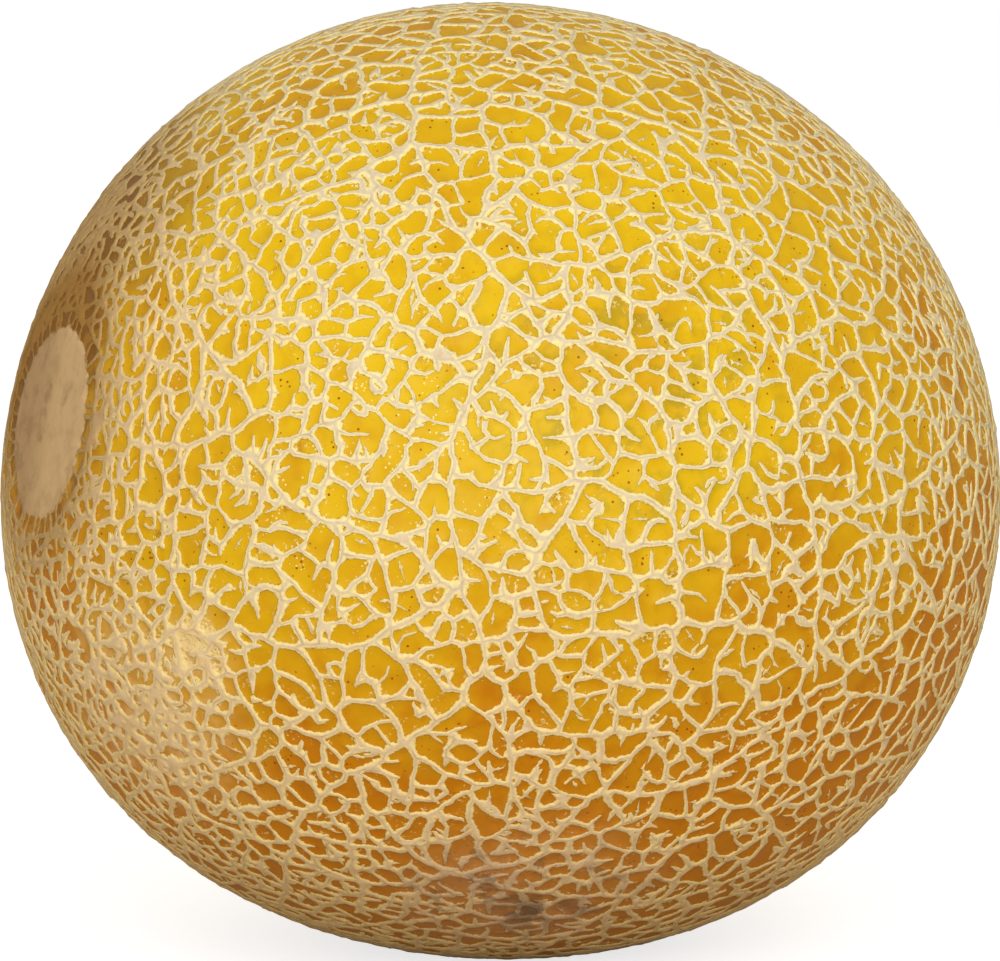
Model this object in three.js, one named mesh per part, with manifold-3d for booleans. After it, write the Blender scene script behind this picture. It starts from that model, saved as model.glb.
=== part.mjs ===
// A galia melon, lying on its side: one closed body, slightly longer than wide, with the round scar that
// the stalk left at one end and the small button of the flower at the other.
// Millimetres, +Z up. The melon rests on a small flat spot whose centre is close to the origin. The stem end
// points along -X and tips up a little.
import * as THREE from "three";
import { mergeVertices } from "three/addons/utils/BufferGeometryUtils.js";
import Module from "manifold-3d";

// Driving dimensions.
const LENGTH = 145; // along X, from the stem end to the blossom end
const STEM_PITCH = 10; // degrees that the stem end is tipped up
const SCAR_RADIUS = 13.5; // the flat disc that the stalk left
const SCAR_RIM = 3; // width of the rounded rim outside the disc
const SCAR_SINK = 0.5; // depth of the disc below its rim
const BUTTON_RADIUS = 4; // the flower's scar at the other end
const BUTTON_SINK = 0.4;
const FOOT_SINK = 1.2; // how far the resting spot is flattened

// Departures from a ball, as shares of the mean radius.
const PROLATE = 0.028; // longer from stem to blossom
const FLAT_SHOULDERS = 0.057; // the two ends are blunt
const SQUAT = 0.022; // lower than wide
const DOMED = 0.033; // a fuller top and a flatter underside

// Facets.
const AROUND = 64;
const ALONG = 36;
const MERGE_GAP = 1e-4; // corners closer than this are one
const EDGE_SLACK = 1e-6; // keeps the corners that lie right on a scar's edge inside the scar

const radians = THREE.MathUtils.degToRad;
const stem = new THREE.Vector3(-Math.cos(radians(STEM_PITCH)), 0, Math.sin(radians(STEM_PITCH)));

// Distance from the centre to the skin, as a share of the mean radius. `along` is the cosine of the angle
// to the stem, and `up` the cosine of the angle to the vertical. The terms are Legendre's, so each keeps
// the mean.
function skinShare(along, up) {
  const ends = (3 * along ** 2 - 1) / 3;
  const shoulders = along ** 4 - (6 / 7) * along ** 2 + 3 / 35;
  const squat = (3 * up ** 2 - 1) / 3;
  const domed = up ** 3 - 0.6 * up;
  return 1 + PROLATE * ends - FLAT_SHOULDERS * shoulders - SQUAT * squat + DOMED * domed;
}

// The angles from the stem at which the profile has a ring: the scar's centre, edge and rim, the body in even
// steps, and the button's rim, edge and centre.
function profileAngles(meanRadius) {
  const scarEdge = SCAR_RADIUS / meanRadius;
  const scarRim = (SCAR_RADIUS + SCAR_RIM) / meanRadius;
  const buttonEdge = BUTTON_RADIUS / meanRadius;
  const bodyEnd = Math.PI - 2 * buttonEdge;
  const body = Array.from({ length: ALONG + 1 }, (_, i) => scarRim + ((bodyEnd - scarRim) * i) / ALONG);
  return [0, scarEdge, (scarEdge + scarRim) / 2, ...body, Math.PI - buttonEdge, Math.PI];
}

// The skin's own distance, brought down to a flat disc inside the two scars.
function radiusAt(direction, meanRadius) {
  const along = direction.dot(stem);
  const skin = meanRadius * skinShare(along, direction.z);
  const scarAngle = SCAR_RADIUS / meanRadius;
  const buttonAngle = BUTTON_RADIUS / meanRadius;
  const scarPlane = meanRadius * skinShare(1, stem.z) * Math.cos(scarAngle) - SCAR_SINK;
  const buttonPlane = meanRadius * skinShare(-1, -stem.z) * Math.cos(buttonAngle) - BUTTON_SINK;
  if (along > Math.cos(scarAngle) - EDGE_SLACK) return scarPlane / along;
  if (-along > Math.cos(buttonAngle) - EDGE_SLACK) return buttonPlane / -along;
  return skin;
}

// The whole skin about its own centre, before the resting spot is cut.
function melonBody(meanRadius) {
  const outline = profileAngles(meanRadius).map((a) => new THREE.Vector2(Math.sin(a), Math.cos(a)));
  outline[0].x = 0;
  outline[outline.length - 1].x = 0;
  const geometry = new THREE.LatheGeometry(outline.reverse(), AROUND);
  const toStem = new THREE.Quaternion().setFromUnitVectors(new THREE.Vector3(0, 1, 0), stem);
  geometry.applyQuaternion(toStem);
  const position = geometry.getAttribute("position");
  const direction = new THREE.Vector3();
  for (let i = 0; i < position.count; i += 1) {
    direction.fromBufferAttribute(position, i).normalize();
    direction.multiplyScalar(radiusAt(direction, meanRadius));
    position.setXYZ(i, direction.x, direction.y, direction.z);
  }
  return geometry;
}

// A closed manifold-3d solid of a geometry, from its positions alone.
function solidOf(wasm, geometry) {
  const bare = geometry.clone();
  bare.deleteAttribute("normal");
  bare.deleteAttribute("uv");
  const merged = mergeVertices(bare, MERGE_GAP);
  return new wasm.Manifold(
    new wasm.Mesh({
      numProp: 3,
      vertProperties: new Float32Array(merged.attributes.position.array),
      triVerts: new Uint32Array(merged.index.array),
    }),
  );
}

// A three.js geometry of a manifold-3d solid.
function geometryOf(solid) {
  const mesh = solid.getMesh();
  const geometry = new THREE.BufferGeometry();
  geometry.setAttribute("position", new THREE.BufferAttribute(mesh.vertProperties, 3));
  geometry.setIndex(new THREE.BufferAttribute(mesh.triVerts, 1));
  return geometry;
}

function boxOf(geometry) {
  geometry.computeBoundingBox();
  return geometry.boundingBox;
}

// The mean radius at which the body comes out at the stated length, found from a trial body.
function meanRadiusFor(length) {
  const trialRadius = length / 2;
  const trial = boxOf(melonBody(trialRadius));
  return (trialRadius * length) / (trial.max.x - trial.min.x);
}

// The body at the stated length, its resting spot cut flat, standing on Z = 0 with its box's centre over
// the origin.
function melonGeometry(wasm) {
  const body = melonBody(meanRadiusFor(LENGTH));
  const box = boxOf(body);
  const ground = new THREE.BoxGeometry(2 * LENGTH, 2 * LENGTH, LENGTH);
  ground.translate(0, 0, box.min.z + FOOT_SINK - LENGTH / 2);
  const rested = geometryOf(solidOf(wasm, body).subtract(solidOf(wasm, ground)));
  const centreX = (box.min.x + box.max.x) / 2;
  const centreY = (box.min.y + box.max.y) / 2;
  rested.translate(-centreX, -centreY, -box.min.z - FOOT_SINK);
  rested.computeVertexNormals();
  return rested;
}

const wasm = await Module();
wasm.setup();

const rindMaterial = new THREE.MeshStandardMaterial({ color: 0xd9ab45, roughness: 0.5, metalness: 0 });
const melon = new THREE.Mesh(melonGeometry(wasm), rindMaterial);
melon.name = "melon";

const part = new THREE.Group();
part.add(melon);

export default part;
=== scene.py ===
import itertools
import math
from collections import namedtuple
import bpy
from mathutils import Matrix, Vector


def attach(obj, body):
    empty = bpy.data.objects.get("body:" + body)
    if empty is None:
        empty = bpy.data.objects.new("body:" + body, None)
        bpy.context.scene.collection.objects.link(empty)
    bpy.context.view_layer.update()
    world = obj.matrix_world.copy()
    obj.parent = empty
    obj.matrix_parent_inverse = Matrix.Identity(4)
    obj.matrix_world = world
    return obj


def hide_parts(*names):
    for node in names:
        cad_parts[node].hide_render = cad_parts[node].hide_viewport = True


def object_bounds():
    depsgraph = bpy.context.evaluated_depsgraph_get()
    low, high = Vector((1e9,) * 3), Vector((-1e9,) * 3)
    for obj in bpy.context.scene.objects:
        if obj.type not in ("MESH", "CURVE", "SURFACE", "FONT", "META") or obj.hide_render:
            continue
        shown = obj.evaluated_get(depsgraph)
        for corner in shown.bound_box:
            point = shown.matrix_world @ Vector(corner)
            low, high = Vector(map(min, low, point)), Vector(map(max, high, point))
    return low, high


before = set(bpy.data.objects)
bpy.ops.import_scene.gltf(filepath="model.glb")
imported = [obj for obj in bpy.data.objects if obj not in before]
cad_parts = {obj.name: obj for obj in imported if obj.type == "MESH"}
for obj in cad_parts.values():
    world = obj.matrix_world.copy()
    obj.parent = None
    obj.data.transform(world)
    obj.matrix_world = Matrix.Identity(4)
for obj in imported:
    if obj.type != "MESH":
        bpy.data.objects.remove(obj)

from types import SimpleNamespace

import bpy
import numpy as np
from mathutils import Vector, geometry, kdtree

CAD_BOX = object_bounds()

bl_info = {
    "name": "Galia Melon",
    "version": (1, 0, 0),
    "blender": (4, 5, 0),
    "location": "View3D > Sidebar > Melon",
    "description": "Builds a netted galia melon over its solid, with a plain studio around it",
    "category": "Object",
}

MM = 0.001
FULL_TURN = 2 * math.pi


# ------------------------------------------------------------------------------------------------------
# The body: the same form as the solid, so the two agree.

STEM_PITCH = 10.0  # degrees that the stem end is tipped up
PROLATE = 0.028  # longer from stem to blossom
FLAT_SHOULDERS = 0.057  # the two ends are blunt
SQUAT = 0.022  # lower than wide
DOMED = 0.033  # a fuller top and a flatter underside
SCAR_RADIUS = 13.5  # mm, the disc that the stalk left
SCAR_SINK = 0.5  # mm
SCAR_BLEND = 0.5  # mm, how softly the skin turns down into it
BUTTON_RADIUS = 4.0  # mm, the flower's scar
BUTTON_SINK = 0.4  # mm
BUTTON_BLEND = 0.3  # mm
NEAR_AN_END = 0.5  # cosine of the angle from an end within which its scar is looked for
FITTING_POINTS = 40000  # places on the skin from which its size is fitted

STEM = np.array([-math.cos(math.radians(STEM_PITCH)), 0.0, math.sin(math.radians(STEM_PITCH))])
SIDE = np.array([0.0, 1.0, 0.0])
OVER = np.cross(STEM, SIDE)

# Marks on the skin: the middle of each, how far out it is full, and where it has gone, in millimetres.
Mark = namedtuple("Mark", "middle full gone")
GREEN = Mark((-9, -66, 88), 10, 36)  # skin that stayed green
PAINTED_GLINTS = Mark((-44, -54, 76), 8, 28)  # painted glints: tiny pale dots that stand in for highlights
SOIL = Mark((-17, -45, 14), 6, 26)  # haze where the melon lay
SMUDGE = Mark((-13, -42, 11), 1, 9)  # the darkest soil in that haze
SCUFF = Mark((-60, -35, 52), 1, 9)  # a bruise that wore the skin thin
BROWN_AND_SHADE = Mark((-60, 10, 103), 8, 38)  # browner skin and cork over the stalk's scar, partly painted shade on that side of the melon
VEIL = Mark((-62, -21, 42), 6, 24)  # a thin pale film under it


def skin_share(directions):
    """Distance from the centre to the skin along unit directions, as a share of the mean radius."""
    along = directions @ STEM
    up = directions[:, 2]
    ends = (3 * along**2 - 1) / 3
    shoulders = along**4 - (6 / 7) * along**2 + 3 / 35
    squat = (3 * up**2 - 1) / 3
    domed = up**3 - 0.6 * up
    return 1 + PROLATE * ends - FLAT_SHOULDERS * shoulders - SQUAT * squat + DOMED * domed


def even_directions(count):
    """Unit directions spread evenly over the ball, as the seeds of a sunflower are over its disc."""
    index = np.arange(count) + 0.5
    height = 1 - 2 * index / count
    turn = math.pi * (1 + math.sqrt(5)) * index
    ring = np.sqrt(1 - height**2)
    return np.stack([ring * np.cos(turn), ring * np.sin(turn), height], axis=1)


def unit(vectors):
    return vectors / np.linalg.norm(vectors, axis=-1, keepdims=True)


def soft_least(a, b, blend):
    """The lower of two heights, with a rounded change from one to the other."""
    mix = np.clip(0.5 + 0.5 * (b - a) / blend, 0, 1)
    return b * (1 - mix) + a * mix - blend * mix * (1 - mix) * 0.5


class Body:
    """The melon's skin, fitted to the box of its solid. Lengths are in millimetres."""

    def __init__(self, box):
        low, high = np.array(box[0]) / MM, np.array(box[1]) / MM
        directions = even_directions(FITTING_POINTS)
        ball = directions * skin_share(directions)[:, None]
        self.radius = (high[0] - low[0]) / (ball[:, 0].max() - ball[:, 0].min())
        middle = self.radius * (ball.max(axis=0) + ball.min(axis=0)) / 2
        top = self.radius * ball[:, 2].max()
        self.centre = np.array([-middle[0], -middle[1], high[2] - top])
        self.scar_plane = self.plane(STEM, SCAR_RADIUS, SCAR_SINK)
        self.button_plane = self.plane(-STEM, BUTTON_RADIUS, BUTTON_SINK)

    def plane(self, axis, edge, sink):
        """Distance from the centre to the flat disc of a scar."""
        pole = self.radius * skin_share(axis[None, :])[0]
        return pole * math.cos(edge / self.radius) - sink

    def reach(self, directions):
        """Distance from the centre to the skin, brought down to a flat disc in the two scars."""
        along = directions @ STEM
        skin = self.radius * skin_share(directions)
        scar = self.scar_plane / np.maximum(along, NEAR_AN_END)
        button = self.button_plane / np.maximum(-along, NEAR_AN_END)
        skin = np.where(along > NEAR_AN_END, soft_least(skin, scar, SCAR_BLEND), skin)
        return np.where(along < -NEAR_AN_END, soft_least(skin, button, BUTTON_BLEND), skin)


# ------------------------------------------------------------------------------------------------------
# The net: cork grows where the skin cracks. A cell of skin cracks across its short way, again and
# again, until its pieces are small, so early cracks run long and thick and late ones short and thin.

# The first cracks run round the stem axis: the angle of each ring from the stem, and its corners.
FIRST_RINGS = [(0.62, 5), (1.15, 7), (1.7, 8), (2.25, 7), (2.75, 5)]
FIRST_SIZE = 30  # mm across the cells that these rings bound, which sets their width
ACROSS_SIZE = 26  # mm, the same for the cracks between one ring and the next
BARS_LAID = 0.88  # share of the short bars round the stalk's scar that are there
BAR_WANDER = 0.04  # radians that a bar's ends stray
BAR_SPREAD = 0.2  # how much the bars differ in length
BUTTON_CORNERS = 24  # in the ring round the flower's scar
CORNER_STRAY = 0.2  # of the way to the ring's next corner
RING_STRAY = 0.05  # radians that a corner strays from its ring's angle
LONG_RING = 60  # points
CRACKS_ACROSS = 4  # from one ring to the next
CRACKS_ACROSS_LONG = 6  # the same where both rings are long
ACROSS_STRAY = 0.015  # of a ring's length

CRACK_TRIES = 6  # cracks tried across a cell, of which the fairest is kept
CRACK_LEAN = 0.45  # radians off the cell's short way
CRACK_SHIFT = 0.2  # how far off the cell's middle, as a share of its size
CRACK_WHIM = 0.25  # how much chance weighs in what is fairest
LEAST_PIECE = 0.27  # share of the cell's rim that each of its two pieces keeps
ACROSS_CELL = 2.45  # a cell's width, in standard deviations of its rim
PATCHINESS = 0.22  # how much the cells' size changes from one side of the melon to another
LEAST_CORNERS = 5  # a cell with no more points than these stays whole
CRACKING_AREA = 0.2  # logarithm of the area over which a cell still cracks, in squares of its stated side
JOINT_COST = 1.3  # steps out of its way that a crack goes, to end clear of a joint
BESIDE_COST = 0.4  # the same for a joint that is one point away

LATE = 2.2  # cells less wide than this many finished ones crack late
BROKEN_WIDTHS = (1.15, 0.6)  # width of a strand that stops short, from its root to its end
WIDTH_SPREAD = 0.2  # how much strands of one age differ
UNDER_EDGE = 0.5  # share of the radius below the middle where the underside starts
UNDER_FADE = 0.35  # share of the radius from there down to where it is full
SHOULDER_WIDTH = 0.25  # share of a dense patch's extra width that the shoulder has
UNDERSIDE_WIDTH = 0.8  # the same for the underside
SWELL_REACH = 1.1  # points from a joint over which its swelling falls away
RIPPLE = 0.14  # how unevenly a strand's width runs
RIPPLE_LIMITS = (0.75, 1.35)
THINNEST = 0.16  # mm
THICKEST = 1.3  # times the widest strand, at its joints
RELAX_PULL = 0.3  # share of the way to its neighbours that a point moves each time

SPUR_LEAN = 0.55  # radians off the way to the cell's middle
SPUR_LENGTH = (0.28, 0.65)  # of the cell's width
SPUR_STEP = 0.8  # of the other strands' step
SPUR_BEND = 0.3  # radians at each of its points
SPUR_WOBBLE = 0.2  # radians more, different at each
SPUR_WIDTH = (1.0, 1.5)  # of the finest strands'
SPUR_ROOT = 1.1  # of its own width, where it sets out
SPUR_THINNING = 0.55  # of its own width, lost by its end
DASH_PLACE = 0.12  # of the cell's width, off its middle
DASH_STEP = (0.1, 0.17)  # of the cell's width
DASH_WIDTHS = np.array([0.25, 1.0, 0.2])  # of the finest strands'


def roundness(flat, i, j):
    """How near to round a cell's less round piece is, when it is cut from corner i to corner j."""
    least = 1.0
    for piece in (flat[i:j + 1], np.concatenate([flat[j:], flat[:i + 1]])):
        after = np.roll(piece, -1, axis=0)
        area = 0.5 * abs((piece[:, 0] * after[:, 1] - piece[:, 1] * after[:, 0]).sum())
        rim = np.linalg.norm(after - piece, axis=1).sum()
        least = min(least, 4 * math.pi * area / rim**2)
    return least


def tangent(at, towards, lean):
    """A unit heading at a point of the ball, turned from another by a lean in radians."""
    towards = unit(towards - at * (towards @ at))
    return towards * math.cos(lean) + np.cross(at, towards) * math.sin(lean)


class Net:
    """Points on the unit ball and the strands that join them. Widths are half-widths in millimetres."""

    def __init__(self, settings, body):
        self.settings = settings
        self.radius = body.radius
        self.dense_spots = [unit(np.array(mark.middle) - body.centre) for mark in (BROWN_AND_SHADE, VEIL)]
        self.random = np.random.default_rng(settings.seed)
        self.points = []
        self.links = []
        self.strands = []

    def add_point(self, direction):
        self.points.append(direction / np.linalg.norm(direction))
        self.links.append(0)
        return len(self.points) - 1

    def add_strand(self, ids, widths):
        for i in ids:
            self.links[i] += 1
        self.strands.append((list(ids), np.asarray(widths, dtype=float)))

    def rim_of(self, loop):
        """The points of a cell's rim, and the direction of its middle."""
        rim = np.array([self.points[i] for i in loop])
        return rim, unit(rim.mean(axis=0))

    def shoulder(self, direction):
        """1 beside the stalk's scar, falling to 0 over the shoulder."""
        along = max(-1.0, min(1.0, float(direction @ STEM)))
        from_scar = math.acos(along) * self.radius - SCAR_RADIUS
        return math.exp(-(max(from_scar, 0.0) / self.settings.shoulder_reach) ** 1.5)

    def dense(self, direction):
        """1 in the middle of a patch where the net grew thicker, falling to 0 outside it."""
        nearest = max(float(direction @ spot) for spot in self.dense_spots)
        away = math.acos(min(1.0, nearest)) * self.radius
        return math.exp(-(away / self.settings.dense_reach) ** 2)

    def underside(self, direction):
        """1 underneath, where the melon lay, falling to 0 at its flanks."""
        return max(0.0, min(1.0, (-float(direction[2]) - UNDER_EDGE) / UNDER_FADE))

    def fine_size(self, direction):
        """Size of a finished cell in millimetres: small round the stalk and in the dense patches."""
        s = self.settings
        patch = math.sin(5.1 * direction[0] + 1.3) * math.sin(4.3 * direction[1] + 0.4)
        patch *= math.sin(4.7 * direction[2] + 2.2)
        beside = 1 - self.shoulder(direction) * (1 - s.shoulder_cell)
        thick = 1 - s.dense_cells * self.dense(direction)
        return s.cell_size * (1 + PATCHINESS * patch) * min(beside, thick)

    def crack(self, a, b):
        """Ids of the points of a jagged line from point a to point b, both ends included."""
        s = self.settings
        start, end = self.points[a], self.points[b]
        gap = np.linalg.norm(end - start) * self.radius
        count = max(1, round(gap / s.step))
        if count == 1:
            return [a, b]
        share = np.linspace(0, 1, count + 1)
        walk = np.concatenate([[0.0], np.cumsum(self.random.normal(0, s.kink * s.step, count))])
        walk -= share * walk[-1]
        sway = self.random.normal(0, s.sway * gap, 2)
        walk += sway[0] * np.sin(math.pi * share) + 0.5 * sway[1] * np.sin(FULL_TURN * share)
        across = np.cross(start, end)
        across /= np.linalg.norm(across)
        line = start + (end - start) * share[1:-1, None] + across * (walk[1:-1, None] / self.radius)
        return [a] + [self.add_point(p) for p in line] + [b]

    def split(self, loop):
        """Cracks a cell in two across its short way, and gives both loops, or None."""
        rim, centre = self.rim_of(loop)
        east = unit(np.cross(centre, STEM) + 1e-9)
        north = np.cross(east, centre)
        flat = np.stack([rim @ east, rim @ north], axis=1) / (rim @ centre)[:, None]
        flat -= flat.mean(axis=0)
        flat[:, 1] *= 1 + self.settings.shoulder_stretch * self.shoulder(centre)
        spread, ways = np.linalg.eigh(flat.T @ flat)
        size = math.sqrt(spread[1] / len(loop))
        best, ends = 0.0, None
        for _ in range(CRACK_TRIES):
            lean = self.random.normal(0, CRACK_LEAN)
            turn = np.array([[math.cos(lean), -math.sin(lean)], [math.sin(lean), math.cos(lean)]])
            across = turn @ ways[:, 1]
            start = self.random.normal(0, CRACK_SHIFT * size, 2)
            pair = self.crossing(loop, flat - start, across)
            if pair:
                fair = roundness(flat, *pair) * self.random.uniform(1 - CRACK_WHIM, 1 + CRACK_WHIM)
                if fair > best:
                    best, ends = fair, pair
        if ends is None:
            return None
        i, j = ends
        line = self.crack(loop[i], loop[j])
        inner = line[1:-1]
        self.draw(line, ACROSS_CELL * size * self.radius)
        return loop[i:j + 1] + inner[::-1], loop[j:] + loop[:i + 1] + inner

    def crossing(self, loop, flat, across):
        """Places in the loop, in order, where a straight crack would meet the two sides of its rim."""
        off = flat @ across
        run = flat @ np.array([-across[1], across[0]])
        following = np.roll(off, -1)
        hits = np.nonzero((off > 0) != (following > 0))[0]
        if len(hits) < 2:
            return None
        share = off[hits] / (off[hits] - following[hits])
        at = run[hits] + share * (np.roll(run, -1)[hits] - run[hits])
        if not (at > 0).any() or not (at < 0).any():
            return None
        ahead = hits[np.argmin(np.where(at > 0, at, np.inf))]
        behind = hits[np.argmax(np.where(at < 0, at, -np.inf))]
        count = len(loop)
        i, j = sorted(self.free_place(loop, k, abs(off)) for k in (ahead, behind))
        if min(j - i, count - (j - i)) < max(2, LEAST_PIECE * count):
            return None
        return i, j

    def free_place(self, loop, k, off):
        """Where a crack had best end near place k of the rim: on its line, and clear of joints."""
        count = len(loop)
        step = self.settings.step / self.radius

        def cost(n):
            beside = sum(self.links[loop[(n + d) % count]] > 1 for d in (-1, 1))
            return off[n] / step + JOINT_COST * (self.links[loop[n]] > 1) + BESIDE_COST * beside

        return min(((k + d) % count for d in (-1, 0, 1, 2)), key=cost)

    def draw(self, line, wide):
        """Lays the cork along a crack. Some late cracks are left broken, with a tapered end."""
        s = self.settings
        widths = self.strand_widths(line, wide)
        if self.random.random() < 0.5:
            line, widths = line[::-1], widths[::-1]
        widths = widths * np.linspace(1 + s.taper, 1 - s.taper, len(line))
        late = wide < LATE * s.cell_size and len(line) > 3
        if late and self.random.random() < s.broken:
            kept = len(line) - int(self.random.integers(1, 3))
            line = line[:kept]
            widths = widths[:kept] * np.linspace(*BROKEN_WIDTHS, kept)
        self.add_strand(line, widths)

    def strand_widths(self, line, size):
        """Widths along a strand: older cracks are wider, and each swells where it joins others."""
        s = self.settings
        spread = math.exp(self.random.normal(0, WIDTH_SPREAD))
        base = s.fine_width * (size / s.cell_size) ** s.age * spread
        middle = self.points[line[len(line) // 2]]
        thicker = max(self.dense(middle), SHOULDER_WIDTH * self.shoulder(middle),
                      UNDERSIDE_WIDTH * self.underside(middle))
        base = min(base * (1 + s.dense_width * thicker), s.widest)
        count = len(line)
        place = np.arange(count)
        joints = np.exp(-place / SWELL_REACH) + np.exp(-(count - 1 - place) / SWELL_REACH)
        ripple = np.clip(1 + RIPPLE * self.random.normal(0, 1, count), *RIPPLE_LIMITS)
        return np.clip(base * (1 + s.junction_swell * joints) * ripple, THINNEST, THICKEST * s.widest)

    def uneven(self, line, least, most):
        """A width for each point of a line, between two shares of the finest strands'."""
        return self.settings.fine_width * self.random.uniform(least, most, len(line))

    def grow(self, loops):
        """Cracks every cell until each is small."""
        s = self.settings
        waiting = list(loops)
        done = []
        while waiting:
            loop = waiting.pop()
            rim, centre = self.rim_of(loop)
            turns = np.cross(rim, np.roll(rim, -1, axis=0)).sum(axis=0)
            area = abs(0.5 * float(turns @ centre)) * self.radius**2
            chance = math.exp(self.random.normal(CRACKING_AREA, s.cell_spread))
            limit = self.fine_size(centre) ** 2 * chance
            parts = self.split(loop) if area > limit and len(loop) > LEAST_CORNERS else None
            if parts is None:
                done.append(loop)
            else:
                waiting.extend(parts)
        return done

    def relax(self, rounds, pinned):
        """Draws each point towards its neighbours, as growing cork does, so that joints fork."""
        points = np.array(self.points)
        pairs = np.concatenate([np.stack([ids[:-1], ids[1:]], axis=1) for ids, _ in self.strands])
        loose = np.ones(len(points), bool)
        loose[list(pinned)] = False
        for _ in range(rounds):
            total = np.zeros_like(points)
            count = np.zeros(len(points))
            for a, b in ((0, 1), (1, 0)):
                np.add.at(total, pairs[:, a], points[pairs[:, b]])
                np.add.at(count, pairs[:, a], 1)
            moved = loose & (count > 1)
            points[moved] += RELAX_PULL * (total[moved] / count[moved, None] - points[moved])
            points = unit(points)
        stray = self.random.normal(0, self.settings.jitter / self.radius, points.shape)
        self.points = list(unit(points + stray * loose[:, None]))

    def add_loose_strands(self, loops):
        """Strands inside the cells: spurs that set out from the rim and thin out, and a few dashes."""
        s = self.settings
        for loop in loops:
            rim, centre = self.rim_of(loop)
            wide = 2 * self.radius * np.linalg.norm(rim - centre, axis=1).mean()
            size = (wide / s.cell_size) ** 1.5
            for _ in range(self.random.poisson(s.spurs * size)):
                k = int(self.random.integers(len(loop)))
                if self.links[loop[k]] == 1:
                    self.add_spur(loop[k], centre - rim[k], wide)
            if self.random.random() < s.dashes * size:
                self.add_dash(centre, rim[0] - centre, wide)

    def add_spur(self, root, inward, wide):
        s = self.settings
        at = self.points[root]
        heading = tangent(at, inward, self.random.normal(0, SPUR_LEAN))
        length = wide * self.random.uniform(*SPUR_LENGTH)
        count = max(1, round(length / (SPUR_STEP * s.step)))
        bend = self.random.normal(0, SPUR_BEND)
        ids = [root]
        for _ in range(count):
            at = unit(at + heading * length / count / self.radius)
            heading = tangent(at, heading, bend + self.random.normal(0, SPUR_WOBBLE))
            ids.append(self.add_point(at))
        share = np.linspace(0, 1, count + 1)
        thick = s.fine_width * self.random.uniform(*SPUR_WIDTH)
        self.add_strand(ids, thick * (SPUR_ROOT - SPUR_THINNING * share**2))

    def add_dash(self, centre, outward, wide):
        lean = self.random.uniform(0, FULL_TURN)
        at = unit(centre + tangent(centre, outward, lean) * wide * DASH_PLACE / self.radius)
        heading = tangent(at, outward, self.random.uniform(0, FULL_TURN))
        step = wide * self.random.uniform(*DASH_STEP) / self.radius
        ids = [self.add_point(at + heading * step * n) for n in (-1, 0, 1)]
        self.add_strand(ids, self.settings.fine_width * DASH_WIDTHS)


def ring_direction(angle, turn):
    """The direction at an angle from the stem, turned about it."""
    side = SIDE * math.cos(turn) + OVER * math.sin(turn)
    return STEM * math.cos(angle) + side * math.sin(angle)


def scar_outline(turn):
    """The scar's radius as a share of its mean, a little out of round."""
    oval = 0.025 * np.sin(2 * turn + 0.8)
    corners = 0.018 * np.sin(3 * turn + 2.1)
    return 1 + oval + corners + 0.012 * np.sin(7 * turn)


def lay_ring(net, corners, widths_of):
    """Lays a closed ring of cork through the corners, and gives the ids of all its points."""
    ring = []
    for a, b in zip(corners, corners[1:] + corners[:1]):
        line = net.crack(a, b)
        net.add_strand(line, widths_of(line))
        ring += line[:-1]
    return ring


def lay_bars(net):
    """Round the stalk's scar: a ring, short bars out from it, and a ring round those. Gives both rings."""
    s = net.settings
    count = round(FULL_TURN * SCAR_RADIUS / s.bar_spacing)
    turns = np.linspace(0, FULL_TURN, count, endpoint=False) + net.random.normal(0, BAR_WANDER, count)
    near = SCAR_RADIUS * scar_outline(turns)
    feet = [net.add_point(ring_direction(r / net.radius, t)) for r, t in zip(near, turns)]
    tops = []
    for r, t in zip(near, turns):
        far = (r + s.bar_length * math.exp(net.random.normal(0, BAR_SPREAD))) / net.radius
        tops.append(net.add_point(ring_direction(far, t + net.random.normal(0, BAR_WANDER))))
    inner = lay_ring(net, feet, lambda line: net.uneven(line, 1, 1))
    outer = lay_ring(net, tops, lambda line: net.uneven(line, 0.7, 1.5))
    for foot, top in zip(feet, tops):
        if net.random.random() < BARS_LAID:
            line = net.crack(foot, top)
            net.add_strand(line, net.uneven(line, 0.6, 1.3))
    return inner, outer


def lay_first_cells(net):
    """The first cracks: the scars' rings and a loose brickwork between them. Gives the cells' loops and
    the points of the scars' rings, which stay where they are."""
    inner, outer = lay_bars(net)
    button_angle = math.pi - BUTTON_RADIUS / net.radius
    turns = np.linspace(0, FULL_TURN, BUTTON_CORNERS, endpoint=False)
    corners = [net.add_point(ring_direction(button_angle, t)) for t in turns]
    button = lay_ring(net, corners, lambda line: net.uneven(line, 1, 1))
    rings = [outer]
    for angle, count in FIRST_RINGS:
        start = net.random.uniform(0, FULL_TURN)
        corners = []
        for k in range(count):
            turn = start + FULL_TURN * (k + net.random.uniform(-CORNER_STRAY, CORNER_STRAY)) / count
            corner = ring_direction(angle + net.random.normal(0, RING_STRAY), turn)
            corners.append(net.add_point(corner))
        rings.append(lay_ring(net, corners, lambda line: net.strand_widths(line, FIRST_SIZE)))
    rings.append(button)
    cells = [cell for upper, lower in zip(rings, rings[1:]) for cell in lay_row(net, upper, lower)]
    return cells, set(inner + outer + button)


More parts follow.
